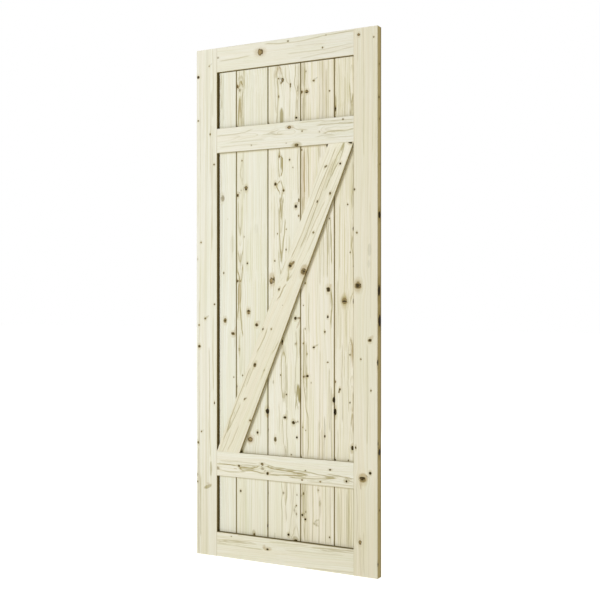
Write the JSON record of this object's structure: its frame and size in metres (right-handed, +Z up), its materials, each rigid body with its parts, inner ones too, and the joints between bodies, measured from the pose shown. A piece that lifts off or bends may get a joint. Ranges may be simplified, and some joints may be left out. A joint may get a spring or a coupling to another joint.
{
  "type": "barn door",
  "caption": "Tall framed softwood door leaf with vertical V-jointed boards, planted mid rails and one diagonal brace, left bare of paint and hardware.",
  "frame": {"origin": "middle of the bottom edge, halfway through the thickness", "axes": "+Z up the door, +X to the right across its width seen from the front, -Y out of its braced front face"},
  "size_m": [0.838, 0.035, 2.134],
  "materials": {
    "stiles": "bare planed knotty spruce",
    "rails": "bare planed knotty spruce",
    "ledges": "bare planed knotty spruce",
    "brace": "bare planed knotty spruce",
    "boards": "bare planed knotty spruce",
    "dowels": "turned beech",
    "screws": "zinc plated"
  },
  "bodies": {
    "root": {"left_stile": "stiles", "right_stile": "stiles", "top_rail": "rails", "bottom_rail": "rails", "upper_mid_rail": "ledges", "lower_mid_rail": "ledges", "diagonal_brace": "brace", "board_1": "boards", "board_2": "boards", "board_3": "boards", "board_4": "boards", "board_5": "boards", "top_rail_dowels": "dowels", "bottom_rail_dowels": "dowels", "upper_mid_rail_dowels": "dowels", "lower_mid_rail_dowels": "dowels", "upper_mid_rail_screws": "screws", "lower_mid_rail_screws": "screws", "brace_screws": "screws"}
  },
  "joints": []
}
